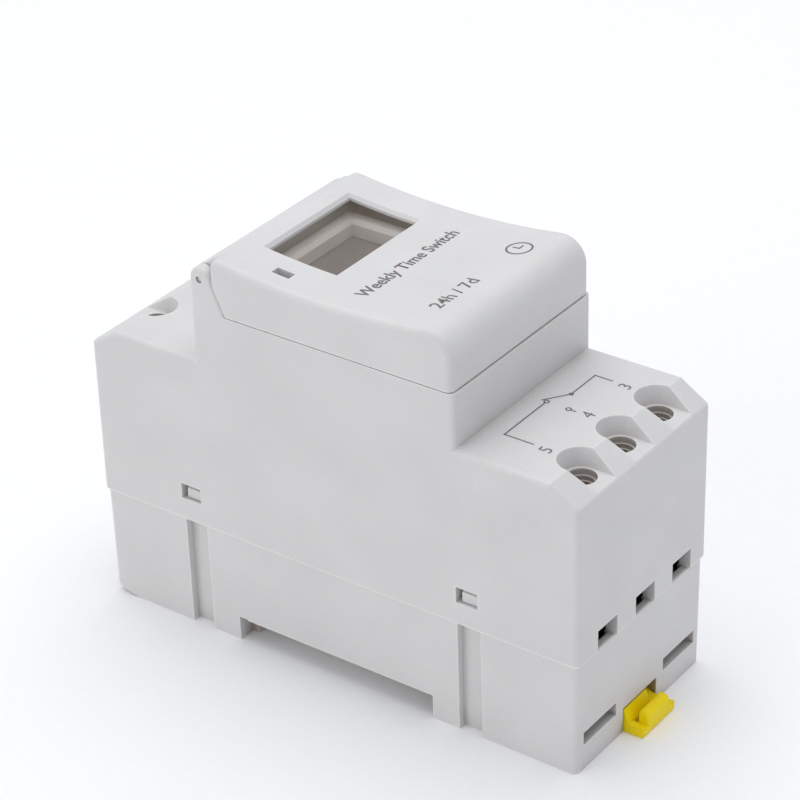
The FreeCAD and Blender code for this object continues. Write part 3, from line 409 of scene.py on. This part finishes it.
def laid_on(name, mesh, surface, body, material):
    """Drops a flat shape, drawn in X and Y, onto a surface as a thin closed layer of ink."""
    work = bmesh.new()
    work.from_mesh(mesh)
    bmesh.ops.remove_doubles(work, verts=work.verts, dist=WELD)
    bmesh.ops.dissolve_degenerate(work, edges=work.edges, dist=SLIVER)
    grown = bmesh.ops.extrude_face_region(work, geom=list(work.faces))
    for item in grown["geom"]:
        if isinstance(item, bmesh.types.BMVert):
            item.co.z = INK_DEPTH
    for vertex in work.verts:
        vertex.co.z += surface(vertex.co.x) + INK_LIFT
    bmesh.ops.recalc_face_normals(work, faces=work.faces)
    result = bpy.data.meshes.new(name)
    work.to_mesh(result)
    work.free()
    result.materials.append(material)
    piece = added(name, result)
    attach(piece, body)


def lettering(name, words, centre, height, surface, body, slot, material, width=None, weight=0.012):
    """Prints words that read along +Y, with their middle at centre. More weight makes bolder letters."""
    curve = bpy.data.curves.new(f"{name}_font", "FONT")
    curve.body = words
    curve.offset = weight
    curve.resolution_u = 4
    holder = added(f"{name}_holder", curve)
    bpy.context.view_layer.update()
    mesh = bpy.data.meshes.new_from_object(holder.evaluated_get(bpy.context.evaluated_depsgraph_get()))
    bpy.data.objects.remove(holder)
    xs = [vertex.co.x for vertex in mesh.vertices]
    ys = [vertex.co.y for vertex in mesh.vertices]
    middle = Vector((min(xs) + max(xs), min(ys) + max(ys), 0)) / 2
    scale_up = height / (max(ys) - min(ys))
    scale_along = scale_up if width is None else width / (max(xs) - min(xs))
    mesh.transform(Matrix.Translation(-middle))
    mesh.transform(Matrix.Diagonal((scale_along, scale_up, 1, 1)))
    mesh.transform(Matrix.Rotation(math.radians(90), 4, "Z"))
    mesh.transform(Matrix.Translation((*centre, 0)))
    laid_on(name, mesh, surface, body, material)


def drawing(name, shapes, surface, body, slot, material):
    """Prints several closed polygons as one layer. Their points are in X and Y, in millimetres."""
    work = bmesh.new()
    for points in shapes:
        work.faces.new([work.verts.new((across * MM, along * MM, 0)) for across, along in points])
    mesh = bpy.data.meshes.new(f"{name}_flat")
    work.to_mesh(mesh)
    work.free()
    laid_on(name, mesh, surface, body, material)


def stroke(start, end, thickness):
    """A straight line as a thin rectangle."""
    start, end = Vector(start), Vector(end)
    side = (end - start).normalized().orthogonal() * (thickness / 2)
    return [tuple(point) for point in (start + side, end + side, end - side, start - side)]


def disc(centre, radius, steps=20):
    """Evenly spaced points round a circle."""
    turns = [step * math.tau / steps for step in range(steps)]
    return [(centre[0] + radius * math.cos(turn), centre[1] + radius * math.sin(turn)) for turn in turns]


def ring(centre, radius, thickness, steps=20):
    """A circle drawn as short quadrilaterals."""
    inner = disc(centre, radius - thickness / 2, steps)
    outer = disc(centre, radius + thickness / 2, steps)
    following = [*range(1, steps), 0]
    return [[inner[here], outer[here], outer[there], inner[there]] for here, there in enumerate(following)]


def print_lid():
    """Two lines of words and a clock sign."""
    on_lid = dict(surface=lid_surface, body="cover", slot="housing_plastic", material=INK)
    lettering("lid_title", "Weekly Time Switch", (4.15 * MM, -0.9 * MM), 2.75 * MM, width=23.2 * MM,
              weight=0.014, **on_lid)
    lettering("lid_range", "24h / 7d", (15.4 * MM, -6.0 * MM), 2.2 * MM, width=9.8 * MM,
              weight=0.008, **on_lid)
    across, along = 15.6, 10.0
    dial = ring((across, along), 1.9, 0.32, 28)
    minute_hand = stroke((across + 0.15, along), (across - 1.15, along), 0.30)
    hour_hand = stroke((across, along - 0.14), (across, along + 1.0), 0.30)
    drawing("lid_clock_mark", [*dial, minute_hand, hour_hand], **on_lid)


def print_relay_deck():
    """Terminal numbers and the change-over contact's diagram."""
    on_deck = dict(surface=flat_surface(DECK), body="housing", slot="housing_plastic", material=INK)
    numerals = {"3": (33.3, 10.4), "4": (33.1, 0.9), "5": (33.3, -10.2)}
    for digit, (across, along) in numerals.items():
        lettering(f"deck_numeral_{digit}", digit, (across * MM, along * MM), 2.0 * MM, weight=0.0, **on_deck)
    thickness = 0.24
    runs = [
        ((31.05, 10.75), (28.05, 10.75)),   # terminal 3 to the corner
        ((28.05, 10.87), (28.05, 4.75)),    # the corner to the filled dot
        ((27.85, 4.15), (25.45, 0.75)),     # the switch arm
        ((26.25, 0.40), (26.25, -10.02)),   # the open dot to the other corner
        ((26.13, -9.90), (31.15, -9.90)),   # that corner to terminal 5
        ((30.40, 0.70), (31.25, 0.70)),     # the second open dot to terminal 4
    ]
    lines = [stroke(start, end, thickness) for start, end in runs]
    filled_dot = disc((28.05, 4.42), 0.40)
    open_dot = ring((26.25, 0.78), 0.36, thickness)
    second_open_dot = ring((30.0, 0.70), 0.38, thickness)
    drawing("deck_contact_diagram", [*lines, filled_dot, *open_dot, *second_open_dot], **on_deck)


BUTTON_WORDS = {
    "button_day": "DAY",
    "button_hour": "HOUR",
    "button_minute": "MIN",
    "button_program": "PROG",
    "button_clock": "CLOCK",
    "button_manual": "MANUAL",
    "button_reset": "RESET",
}


def print_panel():
    """Words beside the push buttons."""
    on_panel = dict(surface=flat_surface(PANEL_FACE), body="housing", slot="panel_plastic", material=INK)
    gap = 1.5 * MM
    for node, word in BUTTON_WORDS.items():
        low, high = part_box(node)
        spot = (high.x + gap, (low.y + high.y) / 2)
        lettering(f"label_{node.removeprefix('button_')}", word, spot, 0.95 * MM, **on_panel)


# ---------------------------------------------------------------- display segments

def seven_segments(centre, height, width, thickness):
    """The seven bars of one digit, which stands with its top towards -X."""
    half_height, half_width = height / 2, width / 2
    gap = thickness * 0.7
    bars = []
    for level in (-half_height, 0.0, half_height):
        bars.append(((level, -half_width + gap), (level, half_width - gap)))
    for side in (-half_width, half_width):
        for low, high in ((-half_height, 0.0), (0.0, half_height)):
            bars.append(((low + gap, side), (high - gap, side)))
    middle = Vector(centre)
    return [stroke(middle + Vector(start), middle + Vector(end), thickness) for start, end in bars]


def print_display():
    """The unlit segments, faint on the display: four digits, a colon and a row of seven day bars."""
    low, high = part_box("lcd_glass")
    middle = (low + high) / (2 * MM)
    digits_across = middle.x + 0.9
    shapes = []
    for offset in (-6.2, -2.5, 2.5, 6.2):
        shapes += seven_segments((digits_across, middle.y + offset), height=4.6, width=2.2, thickness=0.40)
    for offset in (-1.0, 1.0):
        shapes.append(disc((digits_across + offset, middle.y), 0.28, 12))
    days_across = middle.x - 3.6
    day_pitch, half_bar = 2.4, 0.8
    for day in range(-3, 4):
        along = middle.y + day * day_pitch
        shapes.append(stroke((days_across, along - half_bar), (days_across, along + half_bar), 0.55))
    drawing("display_segments", shapes, surface=flat_surface(high.z), body="housing", slot="display_glass",
            material=GHOST)


# ---------------------------------------------------------------- stage, lights and camera

FLOOR_HALF = 3.0
PART_MIDDLE = (0.0, 0.0, 30 * MM)
WARM_WHITE = (1.0, 0.975, 0.94)
SKY = (0.92, 0.945, 1.0, 1.0)
SKY_STRENGTH = 0.60

CAMERA_PLACE = (220.045 * MM, -295.173 * MM, 253.844 * MM)
CAMERA_TURN = (59.3705, 1.5077, 35.6838)     # about X, Y and Z, in degrees
FILM_WIDTH = 36.0                            # in plain millimetres, as Blender takes it
FOCAL_LENGTH = 130.67                        # in plain millimetres too


def make_floor():
    """A pale sheet of paper under the feet."""
    near, far = -FLOOR_HALF, FLOOR_HALF
    corners = [(near, near, FEET), (far, near, FEET), (far, far, FEET), (near, far, FEET)]
    floor_mesh = bpy.data.meshes.new("floor")
    floor_mesh.from_pydata(corners, [], [(0, 1, 2, 3)])
    shader = Shader("floor_paper")
    fibres = shader.noise(1.2 * MM, detail=4.0)
    shader.colour(shader.between(fibres, 0.955, 0.975))
    shader.roughness(shader.between(fibres, 0.7, 0.85))
    shader.bumps([(fibres, 0.02 * MM)])
    floor_mesh.materials.append(shader.material)
    floor = added("floor", floor_mesh)


def soft_light(name, place, size, watts, colour=WHITE):
    """A large rectangular lamp that faces the part."""
    lamp = bpy.data.lights.new(name, "AREA")
    lamp.shape = "RECTANGLE"
    lamp.size, lamp.size_y = size
    lamp.energy = watts
    lamp.color = colour
    holder = added(name, lamp)
    holder.location = place
    holder.rotation_euler = (Vector(PART_MIDDLE) - holder.location).to_track_quat("-Z", "Y").to_euler()


def make_lights():
    """A softbox overhead, a weaker one in front, and a pale sky."""
    soft_light("overhead_box", (-0.10, 0.15, 0.80), (0.9, 0.9), 4.0)
    soft_light("front_box", (-0.35, -0.90, 0.40), (0.8, 0.6), 1.75, WARM_WHITE)
    world = bpy.data.worlds.new("studio")
    world.use_nodes = True
    background = world.node_tree.nodes["Background"]
    background.inputs["Color"].default_value = SKY
    background.inputs["Strength"].default_value = SKY_STRENGTH
    bpy.context.scene.world = world


def make_camera():
    """A long lens from above the relay end, on the side where the snap windows show."""
    lens = bpy.data.cameras.new("camera")
    lens.sensor_width = FILM_WIDTH
    lens.lens = FOCAL_LENGTH
    lens.clip_start = 0.01
    lens.clip_end = 20.0
    camera = added("camera", lens)
    turn = Euler([math.radians(angle) for angle in CAMERA_TURN]).to_matrix().to_4x4()
    camera.matrix_world = Matrix.Translation(CAMERA_PLACE) @ turn
    bpy.context.scene.camera = camera


bpy.context.scene.view_settings.view_transform = "Standard"
dress_nodes()
print_lid()
print_relay_deck()
print_panel()
print_display()
make_floor()
make_lights()
make_camera()
